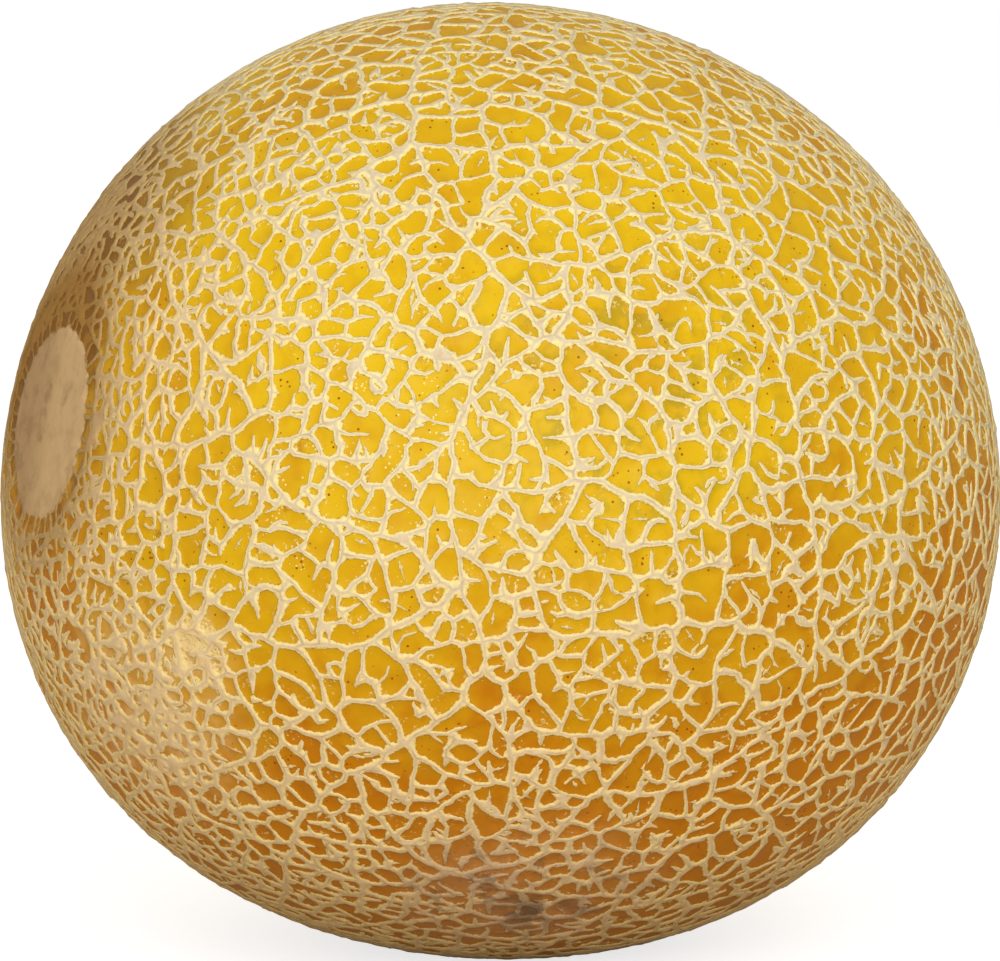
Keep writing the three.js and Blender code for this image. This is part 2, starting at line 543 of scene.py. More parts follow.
def lay_row(net, upper, lower):
    """Cuts the band between two closed rings of points into cells by a few cracks across it."""
    count = CRACKS_ACROSS_LONG if min(len(upper), len(lower)) >= LONG_RING else CRACKS_ACROSS
    places = []
    start = net.random.uniform(0, 1)
    for k in range(count):
        place = (k + start) / count + net.random.normal(0, ACROSS_STRAY)
        i = int(place * len(upper)) % len(upper)
        near = [float(net.points[upper[i]] @ net.points[p]) for p in lower]
        places.append((i, int(np.argmax(near))))
    places.sort()
    lines = []
    for i, j in places:
        line = net.crack(upper[i], lower[j])
        net.add_strand(line, net.strand_widths(line, ACROSS_SIZE))
        lines.append(line)
    cells = []
    for k in range(count):
        (i0, j0), (i1, j1) = places[k], places[(k + 1) % count]
        above = cyclic(upper, i0, i1)
        below = cyclic(lower, j0, j1)
        down = lines[(k + 1) % count][1:-1]
        up = lines[k][1:-1][::-1]
        cells.append(above + down + below[::-1] + up)
    return cells


def cyclic(row, start, stop):
    """The points of a closed ring from one place round to another, both included."""
    if stop <= start:
        stop += len(row)
    return [row[k % len(row)] for k in range(start, stop + 1)]


def melon_net(settings, body):
    """Grows the whole net, and drops the points that no strand kept."""
    net = Net(settings, body)
    cells, pinned = lay_first_cells(net)
    loops = net.grow(cells)
    net.relax(settings.relax_rounds, pinned)
    net.add_loose_strands(loops)
    used = sorted({i for ids, _ in net.strands for i in ids})
    index = {old: new for new, old in enumerate(used)}
    net.points = [net.points[i] for i in used]
    net.strands = [([index[i] for i in ids], widths) for ids, widths in net.strands]
    return net


# ------------------------------------------------------------------------------------------------------
# The relief: how far each place is from the nearest strand, and how high the cork stands there.

CLEAR_OF_OTHERS = 0.85  # share of a foot's own distance that it keeps from every other strand
FILL_CLEAR = 0.35  # of the fill gap, from a ridge's foot to the first point in its cell
CORKY = 0.95  # triangles whose corners lie nearer to a crest than this, in half-widths, look all cork
HOLE_AREA = 0.12  # square mm, the smallest such triangle that is looked into
HOLE_REACH = 1.15  # half-widths from a strand to a hole that was missed
HOLE_CLEAR = 0.05  # mm more
RIDGE_SHAPE = 0.8  # power of a ridge's flank: below 1 it is rounded
PILLOW_REACH = 0.7  # mm from the cork over which the skin swells
SCAR_EDGE = 0.8  # mm over which the net's relief fades into a scar
SCAR_LEVEL = 0.75  # height of a scar, as a share of the highest ridge's
MAP_HALF = 0.49  # half of the map's square, with a little room round it
ANY_WAY = (0.3, 0.5, 0.8)  # a direction clear of the stem's
PIECES_TRIED = 10  # pieces of strand round a place, by their middles, among which the nearest is
NEIGHBOURS = list(itertools.product((-1, 0, 1), repeat=3))


class Segments:
    """The net's strands as short straight pieces that can be searched."""

    def __init__(self, net, points):
        self.radius = net.radius
        starts, ends, start_widths, end_widths = [], [], [], []
        for ids, widths in net.strands:
            starts += ids[:-1]
            ends += ids[1:]
            start_widths += list(widths[:-1])
            end_widths += list(widths[1:])
        self.pairs = np.stack([starts, ends], axis=1)
        self.a = points[starts]
        self.b = points[ends]
        self.wide_a = np.array(start_widths)
        self.wide_b = np.array(end_widths)
        middles = (self.a + self.b) / 2
        self.tree = kdtree.KDTree(len(middles))
        for i, p in enumerate(middles):
            self.tree.insert(p, i)
        self.tree.balance()

    def nearest(self, directions):
        """For each direction, millimetres to the strand nearest by its width, and its half-width."""
        found = np.array([[hit[1] for hit in self.tree.find_n(p, PIECES_TRIED)] for p in directions])
        a, b = self.a[found], self.b[found]
        run = b - a
        length = np.maximum((run**2).sum(axis=2), 1e-12)
        share = np.clip((((directions[:, None, :] - a) * run).sum(axis=2)) / length, 0, 1)
        off = np.linalg.norm(a + run * share[..., None] - directions[:, None, :], axis=2) * self.radius
        wide = self.wide_a[found] * (1 - share) + self.wide_b[found] * share
        best = (off / wide).argmin(axis=1)
        rows = np.arange(len(directions))
        return off[rows, best], wide[rows, best]


def foot_points(net, points, foot, least):
    """Points along both feet of every strand, never closer to its crest than the least distance."""
    here, before, after, wide = [], [], [], []
    for ids, widths in net.strands:
        here += ids
        before += [ids[0]] + ids[:-1]
        after += ids[1:] + [ids[-1]]
        wide += list(widths)
    at = points[here]
    across = np.cross(at, unit(points[after] - points[before]))
    offset = across * (np.maximum(foot * np.array(wide), least) / net.radius)[:, None]
    return unit(np.concatenate([at + offset, at - offset]))


def thin_out(candidates, least):
    """The candidates that stay clear of each other by a least distance."""
    boxes = {}
    chosen = []
    for n, point in enumerate(candidates.tolist()):
        x, y, z = (int(value // least) for value in point)
        beside = (other for i, j, k in NEIGHBOURS for other in boxes.get((x + i, y + j, z + k), ()))
        if all(math.dist(point, other) >= least for other in beside):
            boxes.setdefault((x, y, z), []).append(point)
            chosen.append(n)
    return candidates[chosen]


def wrap_triangles(directions, pairs, pole):
    """Delaunay triangles over the whole ball that keep the given edges. It works in the plane that the
    ball is spread on from the pole, and a fan closes the ball there. Gives the directions used, and the
    triangles."""
    east = unit(np.cross(pole, ANY_WAY))
    north = np.cross(pole, east)
    rise = 1 - directions @ pole
    flat = np.stack([directions @ east, directions @ north], axis=1) * (2 / rise)[:, None]
    flat = [Vector(p) for p in flat.tolist()]
    coords, _, faces, sources, _, _ = geometry.delaunay_2d_cdt(flat, pairs.tolist(), [], 0, 0.0, True)
    used = np.empty((len(coords) + 1, 3))
    for n, (point, source) in enumerate(zip(coords, sources)):
        if source:
            used[n] = directions[source[0]]
            continue
        x, y = point.x / 2, point.y / 2
        square = x * x + y * y
        used[n] = (2 * x * east + 2 * y * north + (square - 1) * pole) / (square + 1)
    tip = len(coords)
    used[tip] = pole
    faces = np.array(faces)
    edges = np.concatenate([faces[:, [0, 1]], faces[:, [1, 2]], faces[:, [2, 0]]])
    present = set(map(tuple, edges.tolist()))
    fan = np.array([(b, a, tip) for a, b in present if (b, a) not in present])
    return used, np.concatenate([faces, fan])


def missed_holes(directions, triangles, reach, segments):
    """Middles of the triangles that span open skin though all their corners stand on cork."""
    corners = directions[triangles]
    sides = np.cross(corners[:, 1] - corners[:, 0], corners[:, 2] - corners[:, 0])
    area = np.linalg.norm(sides, axis=1) / 2 * segments.radius**2
    corky = (reach[triangles].mean(axis=1) < CORKY) & (area > HOLE_AREA)
    middles = unit(corners[corky].mean(axis=1))
    off, wide = segments.nearest(middles)
    return middles[off > HOLE_REACH * wide + HOLE_CLEAR]


def melon_surface(settings, body):
    """The whole skin: directions, triangles, and at each direction the millimetres to the nearest
    strand and that strand's half-width."""
    net = melon_net(settings, body)
    points = np.array(net.points)
    segments = Segments(net, points)
    radius = body.radius

    feet = foot_points(net, points, settings.foot, settings.least_gap)
    off, wide = segments.nearest(feet)
    feet = feet[off > CLEAR_OF_OTHERS * settings.foot * wide]
    feet = thin_out(feet * radius, settings.least_gap) / radius

    fill = even_directions(int(4 * math.pi * radius**2 / settings.fill_gap**2))
    off, wide = segments.nearest(fill)
    fill = fill[off > settings.foot * wide + FILL_CLEAR * settings.fill_gap]

    directions = np.concatenate([points, feet, fill])
    used, triangles = wrap_triangles(directions, segments.pairs, -STEM)
    off, wide = segments.nearest(used)
    holes = missed_holes(used, triangles, off / wide, segments)
    used, triangles = wrap_triangles(np.concatenate([directions, holes]), segments.pairs, -STEM)
    off, wide = segments.nearest(used)
    return used, triangles, off, wide


def scar_edges(directions, radius):
    """Millimetres outside the stalk's scar and outside the flower's, negative within."""
    angle = np.arccos(np.clip(directions @ STEM, -1, 1))
    turn = np.arctan2(directions @ OVER, directions @ SIDE)
    stalk = angle * radius - SCAR_RADIUS * scar_outline(turn)
    flower = (math.pi - angle) * radius - BUTTON_RADIUS
    return stalk, flower


def place_surface(settings, body, directions, off, wide):
    """Positions in millimetres: the skin lies below the solid's, and the highest cork reaches it."""
    stalk, flower = scar_edges(directions, body.radius)
    foot = settings.foot * wide
    crest = settings.ridge_base + settings.ridge_rise * wide
    cork = crest * np.clip(1 - off / foot, 0, 1) ** RIDGE_SHAPE
    pillow = settings.pillow * (1 - np.exp(-np.maximum(off - foot, 0) / PILLOW_REACH))
    inside = np.clip(-np.minimum(stalk, flower) / SCAR_EDGE, 0, 1)
    scarred = cork * (1 - inside) + SCAR_LEVEL * settings.skin_depth * inside
    lift = np.where(inside > 0, scarred, cork + pillow)
    below = settings.skin_depth - np.minimum(lift, settings.skin_depth)
    at = body.centre + directions * (body.reach(directions) - below)[:, None]
    at[:, 2] = np.maximum(at[:, 2], below)
    return at, stalk, flower


def unwrap_ball(directions, triangles):
    """A map of equal area over the whole ball: its top half in the middle of a square, and a quarter
    of its lower half in each corner."""
    middle = unit(directions[triangles].mean(axis=1))
    signs = np.where(middle >= 0, 1.0, -1.0)[:, None, :]
    x, y, z = (directions[triangles] * signs).transpose(2, 0, 1)
    spread = np.sqrt(np.maximum(1 - np.abs(z), 0))
    v = spread * np.arctan2(y, x) * 2 / math.pi
    u = spread - v
    far = signs[..., 2] < 0
    u, v = np.where(far, 1 - v, u), np.where(far, 1 - u, v)
    square = np.stack([u * signs[..., 0], v * signs[..., 1]], axis=2)
    return (0.5 + MAP_HALF * square).reshape(-1, 2)


# ------------------------------------------------------------------------------------------------------
# Finishes

FLOAT = "NodeSocketFloat"
COLOR = "NodeSocketColor"

# Where the colours change, from none of a change to all of it. Heights, and places along X, in metres:
# LOW_RIND, CROWN, FLOWER_END and SHOULDER_RIND place painted shade on the skin; LOW_CORK and SHOULDER_CORK
# place painted warm shade on the cork.
LOW_RIND = (85 * MM, 15 * MM)
LOW_CORK = (85 * MM, 30 * MM)
CROWN = (115 * MM, 138 * MM)
UNDERSIDE = (30 * MM, 8 * MM)
FLOWER_END = (0.0, 60 * MM)
SHADED_FAR_HALF = (-4 * MM, 8 * MM)  # of the stalk's scar, along Y, where painted shade darkens it
# and millimetres from the edge of the stalk's scar:
SHOULDER_RIND = (34.0, 0.0)
SHOULDER_CORK = (50.0, 12.0)
COLLAR = (10.0, 1.5)
TAN_CORK = (16.0, 0.0)


def srgb(red, green, blue):
    """A colour written as a paint chart has it, 0 to 255, as Blender's linear values."""
    def linear(value):
        value /= 255
        return value / 12.92 if value <= 0.04045 else ((value + 0.055) / 1.055) ** 2.4

    return (linear(red), linear(green), linear(blue))


class Nodes:
    """A node tree with short calls for the nodes that the finishes use."""

    def __init__(self, tree):
        self.tree = tree

    def add(self, kind, inputs=None, **settings):
        node = self.tree.nodes.new(kind)
        for name, value in settings.items():
            setattr(node, name, value)
        for name, value in (inputs or {}).items():
            self.feed(node.inputs[name], value)
        return node

    def feed(self, socket, value):
        if isinstance(value, bpy.types.NodeSocket):
            self.tree.links.new(value, socket)
        elif socket.type == "RGBA":
            socket.default_value = (*value, 1.0)
        else:
            socket.default_value = value

    def group(self, tree, **inputs):
        """A node group, fed by the names of its sockets in small letters with _ for a space."""
        named = {name.capitalize().replace("_", " "): value for name, value in inputs.items()}
        return self.add("ShaderNodeGroup", named, node_tree=tree).outputs

    def math(self, operation, a, b=0.0, clamp=False):
        return self.add("ShaderNodeMath", {0: a, 1: b}, operation=operation, use_clamp=clamp).outputs[0]

    def plus(self, a, b, clamp=False):
        return self.math("ADD", a, b, clamp)

    def minus(self, a, b):
        return self.math("SUBTRACT", a, b)

    def times(self, a, b):
        return self.math("MULTIPLY", a, b)

    def ramp(self, value, start, end, least=0.0, most=1.0):
        """The value taken smoothly from one range to another."""
        inputs = {"Value": value, "From Min": start, "From Max": end, "To Min": least, "To Max": most}
        return self.add("ShaderNodeMapRange", inputs, interpolation_type="SMOOTHSTEP").outputs[0]

    def mix(self, share, a, b):
        node = self.add("ShaderNodeMix", {0: share}, data_type="RGBA")
        self.feed(node.inputs[6], a)
        self.feed(node.inputs[7], b)
        return node.outputs[2]

    def noise(self, place, per_mm, detail=2.0, rough=0.5):
        inputs = {"Vector": place, "Scale": per_mm / MM, "Detail": detail, "Roughness": rough}
        return self.add("ShaderNodeTexNoise", inputs).outputs["Fac"]

    def waver(self, place, per_mm, swing, detail=2.0, rough=0.5):
        """Noise about 0, of a full swing."""
        return self.times(self.minus(self.noise(place, per_mm, detail, rough), 0.5), swing)

    def attribute(self, name):
        return self.add("ShaderNodeAttribute", attribute_name=name).outputs["Fac"]

    def place(self):
        return self.add("ShaderNodeTexCoord").outputs["Object"]

    def near(self, place, mark):
        """1 in the middle of a mark, falling to 0 where it has gone, with a wavering edge."""
        middle = tuple(value * MM for value in mark.middle)
        away = self.add("ShaderNodeVectorMath", {0: place, 1: middle}, operation="DISTANCE")
        waver = self.waver(place, 0.08, 0.6 * (mark.gone - mark.full) * MM, 3.0)
        return self.ramp(self.plus(away.outputs["Value"], waver), mark.gone * MM, mark.full * MM)


def make_group(name, inputs, outputs):
    """An empty node group with the named sockets, and its own short calls."""
    group = bpy.data.node_groups.new(name, "ShaderNodeTree")
    for socket, kind, default in inputs:
        made = group.interface.new_socket(socket, in_out="INPUT", socket_type=kind)
        made.default_value = (*default, 1.0) if kind == COLOR else default
    for socket, kind in outputs:
        group.interface.new_socket(socket, in_out="OUTPUT", socket_type=kind)
    nodes = Nodes(group)
    start = nodes.add("NodeGroupInput")
    end = nodes.add("NodeGroupOutput")
    return group, nodes, start.outputs, end.inputs


def rind_group():
    """The skin in the net's cells: its ripeness deepened by painted shade, green that stayed, small brown
    specks, and pale dots that are painted glints.
    """
    inputs = [("Ripe", COLOR, (0.8, 0.5, 0.05)), ("Deep", COLOR, (0.6, 0.3, 0.02)),
              ("Green", COLOR, (0.3, 0.3, 0.05)), ("Speck", COLOR, (0.3, 0.1, 0.02)),
              ("Dot", COLOR, (1.0, 0.9, 0.5)), ("Gap", FLOAT, 1.0), ("Shade", FLOAT, 0.0),
              ("Green zone", FLOAT, 0.0), ("Dot zone", FLOAT, 0.0)]
    group, n, given, out = make_group("Melon rind", inputs, [("Color", COLOR), ("Height", FLOAT)])
    place = n.place()
    patches = n.ramp(n.noise(place, 0.045, 3.0), 0.42, 0.72, most=0.4)
    blotches = n.ramp(n.noise(place, 0.25), 0.45, 0.75, most=0.22)
    # Painted shade: the Shade input takes the skin towards the deeper orange, along with its random
    # patches and blotches.
    deep = n.plus(n.plus(patches, given["Shade"], clamp=True), blotches, clamp=True)
    color = n.mix(deep, given["Ripe"], given["Deep"])
    greens = n.times(n.ramp(n.noise(place, 0.26, 3.0, 0.6), 0.45, 0.65), given["Green zone"])
    greens = n.times(greens, n.ramp(given["Gap"], 1.1, 0.0, 0.1, 0.52))
    color = n.mix(greens, color, given["Green"])

    dots = n.add("ShaderNodeTexVoronoi", {"Vector": place, "Scale": 1.35 / MM, "Randomness": 1.0})
    size = n.ramp(n.noise(place, 0.28, 1.0), 0.47, 0.6, most=0.31)
    chance = n.add("ShaderNodeSeparateColor", {0: dots.outputs["Color"]}).outputs[0]
    chosen = n.math("GREATER_THAN", chance, 0.5)
    speck = n.times(n.ramp(n.minus(size, dots.outputs["Distance"]), 0.0, 0.12), chosen)
    speck = n.times(speck, n.ramp(given["Gap"], 0.1, 0.35))
    color = n.mix(n.times(speck, 0.9), color, given["Speck"])

    # Painted highlights: tiny pale dots in place of glints on the wet skin.
    glints = n.add("ShaderNodeTexVoronoi", {"Vector": place, "Scale": 1.5 / MM, "Randomness": 1.0})
    small = n.ramp(n.noise(place, 0.35, 1.0), 0.46, 0.64, most=0.3)
    dot = n.ramp(n.minus(small, glints.outputs["Distance"]), 0.0, 0.1)
    color = n.mix(n.times(n.times(dot, given["Dot zone"]), 0.75), color, given["Dot"])
    n.feed(out["Color"], color)
    n.feed(out["Height"], n.plus(n.noise(place, 0.9), n.times(dot, 1.5)))
    return group


def cork_group():
    """The net's cork: cream at its edges, greyer along its crest, with fine cross cracks."""
    inputs = [("Edge", COLOR, (0.9, 0.75, 0.45)), ("Crest", COLOR, (0.8, 0.65, 0.5)),
              ("Fissure", COLOR, (0.5, 0.4, 0.3)), ("Reach", FLOAT, 1.0), ("Width", FLOAT, 0.4)]
    group, n, given, out = make_group("Melon cork", inputs, [("Color", COLOR), ("Height", FLOAT)])
    place = n.place()
    reach = n.plus(given["Reach"], n.waver(place, 1.4, 0.5))
    color = n.mix(n.ramp(reach, 0.65, 0.2), given["Edge"], given["Crest"])
    patchy = n.ramp(n.noise(place, 0.5), 0.4, 0.7)
    fissure = n.times(n.ramp(reach, 0.2, 0.04), patchy)
    fissure = n.times(fissure, n.ramp(given["Width"], 0.25, 0.5))
    color = n.mix(n.times(fissure, 0.55), color, given["Fissure"])
    grain = n.noise(place, 2.2, 3.0, 0.6)
    color = n.mix(n.ramp(grain, 0.3, 0.75, most=0.3), color, given["Fissure"])
    n.feed(out["Color"], color)
    n.feed(out["Height"], n.times(n.minus(grain, fissure), 0.25))
    return group


def places_on_skin(n):
    """What the finish knows of each place: where it is, and how far from the strands and the scars."""
    at = SimpleNamespace(place=n.place())
    at.x, at.y, at.z = n.add("ShaderNodeSeparateXYZ", {0: at.place}).outputs
    for name in ("reach", "gap", "width", "stalk", "flower"):
        setattr(at, name, n.attribute(name))
    at.scuffed = n.near(at.place, SCUFF)
    at.browned = n.near(at.place, BROWN_AND_SHADE)
    return at


def painted_shade_of_place(n, at):
    """How deep the skin's orange is: painted shade, partly the skin's own deeper ripeness, deeper low
    down, at the crown, beside the stalk and towards the flower end.
    """
    low = n.ramp(at.z, *LOW_RIND)
    high = n.ramp(at.z, *CROWN, most=0.3)
    flower_end = n.ramp(at.x, *FLOWER_END, most=0.5)
    beside = n.ramp(at.stalk, *SHOULDER_RIND, most=0.4)
    return n.plus(n.plus(low, flower_end), n.plus(high, beside), clamp=True)


def skin_color(n, at, colors, rind, netted):
    """The rind in the cells, with a painted shadow at the cork's foot, brown round the stalk's scar and
    underneath, partly painted shade over the scar.
    """
    # Painted shadow: the skin darkens at the foot of the cork, where the cork's own shadow falls.
    groove = n.times(n.ramp(at.reach, 1.13, 1.0), n.minus(1.0, netted))
    color = n.mix(n.times(groove, 0.6), rind, colors.groove)
    around = n.ramp(n.noise(at.place, 0.3), 0.35, 0.65, 0.3, 0.85)
    brown = n.times(n.ramp(at.stalk, *COLLAR), around)
    brown = n.plus(brown, n.ramp(at.z, *UNDERSIDE, most=0.4))
    # Partly painted shade: the browned patch over the stalk's scar also stands in for shade on that side.
    brown = n.plus(brown, n.times(at.browned, 1.1), clamp=True)
    return n.mix(brown, color, colors.collar)


def net_color(n, at, colors, cork):
    """The cork, with painted warm shade low down and towards the stalk, and browner close to its scar and
    underneath, partly painted shade over the scar.
    """
    # Painted shade: the cork is warmed low down and towards the stalk, where those sides of the melon fall
    # into shade.
    low = n.ramp(at.z, *LOW_CORK, most=0.2)
    shade_warmth = n.math("MAXIMUM", low, n.ramp(at.stalk, *SHOULDER_CORK, most=0.2))
    tan = n.plus(n.ramp(at.stalk, *TAN_CORK, most=0.75), n.ramp(at.z, *UNDERSIDE, most=0.3))
    # Partly painted shade: the cork is browned over the stalk's scar where that side falls into shade.
    tan = n.plus(tan, n.times(at.browned, 0.65), clamp=True)
    return n.mix(tan, n.mix(shade_warmth, cork, colors.cork_warm), colors.cork_tan)


def stained(n, at, colors, color, netted):
    """The bruise and pale film beside the stalk's scar, and the haze and soil where the melon lay."""
    film = n.ramp(n.noise(at.place, 0.4, 3.0), 0.4, 0.65, 0.15, 0.5)
    graze = n.ramp(n.noise(at.place, 0.5, 3.0), 0.35, 0.6, 0.15, 0.7)
    veil = n.math("MAXIMUM", n.times(n.near(at.place, VEIL), film), n.times(at.scuffed, graze))
    color = n.mix(veil, color, colors.scuff)

    soiled = n.near(at.place, SOIL)
    haze = n.times(soiled, n.ramp(n.noise(at.place, 0.12, 4.0, 0.6), 0.34, 0.56, 0.3, 0.85))
    haze = n.times(haze, n.ramp(netted, 0.0, 1.0, 0.25, 1.0))
    color = n.mix(haze, color, colors.dust)
    grime = n.noise(at.place, 0.2, 5.0, 0.65)
    soil = n.times(soiled, n.ramp(grime, 0.54, 0.64, most=0.5))
    smudge = n.times(n.near(at.place, SMUDGE), n.ramp(grime, 0.4, 0.55, most=0.8))
    return n.mix(n.math("MAXIMUM", soil, smudge), color, colors.soil)


def scar_mask(n, at):
    """1 in the two scars, which are bare dry cork, and 0 outside their rough edges."""
    nearer = n.math("MINIMUM", n.minus(at.stalk, 0.4), at.flower)
    return n.ramp(n.plus(nearer, n.waver(at.place, 0.4, 2.4, 3.0, 0.6)), 0.25, -0.25)


def scar_color(n, at, colors):
    """Dry cork with smudges, with painted shade on the stalk scar's far half, and darker in rings on the
    flower's.
    """
    smudge = n.plus(n.ramp(n.noise(at.place, 0.35, 4.0, 0.65), 0.4, 0.75, most=0.4),
                    n.ramp(n.noise(at.place, 0.16, 3.0, 0.6), 0.55, 0.68, most=0.5))
    # Painted shade: the stalk's scar darkens on its far half, where it turns away from the light.
    smudge = n.plus(smudge, n.ramp(at.y, *SHADED_FAR_HALF, most=0.7))
    wavering = n.plus(at.flower, n.times(n.noise(at.place, 0.8), 1.2))
    ring = n.times(n.ramp(wavering, -0.7, 0.0), n.ramp(wavering, 0.9, 0.2))
    smudge = n.plus(smudge, n.plus(ring, n.ramp(wavering, -2.0, -2.9)), clamp=True)
    return n.mix(smudge, colors.scar, colors.scar_dark)


def melon_material(colors):
    """The finish of the whole skin: satin rind in the cells, matt cork on the net and in the scars."""
    material = bpy.data.materials.new("netted rind")
    material.use_nodes = True
    n = Nodes(material.node_tree)
    shader = material.node_tree.nodes["Principled BSDF"]
    at = places_on_skin(n)
    rind = n.group(rind_group(), ripe=colors.ripe, deep=colors.deep, green=colors.green,
                   speck=colors.speck, dot=colors.dot, gap=at.gap, shade=painted_shade_of_place(n, at),
                   green_zone=n.near(at.place, GREEN), dot_zone=n.near(at.place, PAINTED_GLINTS))
    cork = n.group(cork_group(), edge=colors.cork_edge, crest=colors.cork_crest,
                   fissure=colors.fissure, reach=at.reach, width=at.width)

    edge = n.plus(at.reach, n.waver(at.place, 1.8, 0.8, 2.0, 0.6))
    edge = n.minus(edge, n.times(at.scuffed, 0.3))
    netted = n.ramp(edge, 1.08, 0.92)
    bare = scar_mask(n, at)
    corky = n.math("MAXIMUM", netted, bare)
    skin = skin_color(n, at, colors, rind["Color"], netted)
    color = n.mix(netted, skin, net_color(n, at, colors, cork["Color"]))
    color = stained(n, at, colors, color, netted)
    n.feed(shader.inputs["Base Color"], n.mix(bare, color, scar_color(n, at, colors)))
    n.feed(shader.inputs["Roughness"], n.ramp(corky, 0.0, 1.0, 0.4, 0.8))
    shader.inputs["Specular IOR Level"].default_value = 0.15

    flank = n.times(n.ramp(edge, 1.15, 0.55), n.ramp(at.width, 0.1, 0.6, 0.5, 1.0))
    flank = n.times(flank, n.minus(1.0, bare))
    height = n.plus(n.plus(flank, n.times(cork["Height"], corky)), n.times(rind["Height"], 0.12))
    bump = n.add("ShaderNodeBump", {"Height": height, "Distance": 0.22 * MM, "Strength": 0.9})
    n.feed(shader.inputs["Normal"], bump.outputs["Normal"])
    return material


# ------------------------------------------------------------------------------------------------------
# Settings


def in_mm(name, text, millimetres):
    return bpy.props.FloatProperty(
        name=name, description=text, default=millimetres * MM, min=0.0, unit="LENGTH", precision=5)


def ratio(name, text, default):
    return bpy.props.FloatProperty(name=name, description=text, default=default, min=0.0)


def in_degrees(name, text, degrees):
    return bpy.props.FloatProperty(
        name=name, description=text, default=math.radians(degrees), subtype="ANGLE")


def in_watts(name, text, watts):
    return bpy.props.FloatProperty(name=name, description=text, default=watts, min=0.0, unit="POWER")


def whole(name, text, default):
    return bpy.props.IntProperty(name=name, description=text, default=default, min=0)


def paint(name, text, red, green, blue):
    return bpy.props.FloatVectorProperty(name=name, description=text, default=srgb(red, green, blue),
                                         subtype="COLOR", size=3, min=0.0, max=1.0)


def in_millimetres(settings):
    """The settings as plain values, with each length in millimetres."""
    values = SimpleNamespace()
    for name in settings.__annotations__:
        value = getattr(settings, name)
        if settings.bl_rna.properties[name].unit == "LENGTH":
            value /= MM
        setattr(values, name, value)
    return values


class MelonNetSettings(bpy.types.PropertyGroup):
    """How the cork net grows."""

    seed: whole("Seed", "Which net grows", 7)
    cell_size: in_mm("Cell size", "Side of a finished cell on the flanks", 4.14)
    cell_spread: ratio("Cell spread", "How much the cells differ in area", 0.28)
    shoulder_cell: ratio("Shoulder cell", "Cell size beside the stalk, as a share of the flanks'", 0.58)
    shoulder_reach: in_mm("Shoulder reach", "How far from the stalk's scar the cells stay small", 24.0)
    shoulder_stretch: ratio("Shoulder stretch", "How much cells beside the scar lie along its rim", 0.7)
    step: in_mm("Step", "Length of a strand's straight pieces", 1.2)
    kink: ratio("Kink", "How sharply strands jink at each step", 0.32)
    sway: ratio("Sway", "How far strands bow, as a share of their length", 0.08)
    fine_width: in_mm("Fine width", "Half-width of the finest strands", 0.312)
    widest: in_mm("Widest", "Half-width of the oldest strands", 0.52)
    age: ratio("Age", "How much thicker older, longer strands are, as a power of their length", 0.17)
    junction_swell: ratio("Junction swell", "Extra width where strands join, as a share", 0.12)
    taper: ratio("Taper", "How much a strand narrows from one end to the other, as a share", 0.18)
    broken: ratio("Broken", "Share of the late strands that stop short", 0.62)
    relax_rounds: whole("Relax", "How often the net is drawn taut", 3)
    jitter: in_mm("Jitter", "How far points stray once the net is taut", 0.14)
    spurs: ratio("Spurs", "Loose-ended strands in each cell", 0.8)
    dashes: ratio("Dashes", "Short strands that join nothing, in each cell", 0.12)
    dense_reach: in_mm("Dense reach", "How wide the patches of denser net are", 19.0)
    dense_cells: ratio("Dense cells", "How much smaller the cells are there, as a share", 0.5)
    dense_width: ratio("Dense width", "How much wider the strands are there, as a share", 0.5)
    bar_spacing: in_mm("Bar spacing", "Distance between the short bars round the stalk's scar", 2.1)
    bar_length: in_mm("Bar length", "Length of those bars", 3.2)
    foot: ratio("Foot", "Where a ridge meets the skin, in half-widths", 1.15)
    least_gap: in_mm("Least gap", "Closest that two vertices may be", 0.28)
    fill_gap: in_mm("Fill gap", "Distance between vertices inside a cell", 1.8)
    skin_depth: in_mm("Skin depth", "Depth of the skin below the highest ridges", 0.5)
    ridge_base: in_mm("Ridge base", "Height of a ridge of no width", 0.12)
    ridge_rise: ratio("Ridge rise", "Height gained for each millimetre of half-width", 0.45)
    pillow: in_mm("Pillow", "How far the skin swells inside a cell", 0.08)


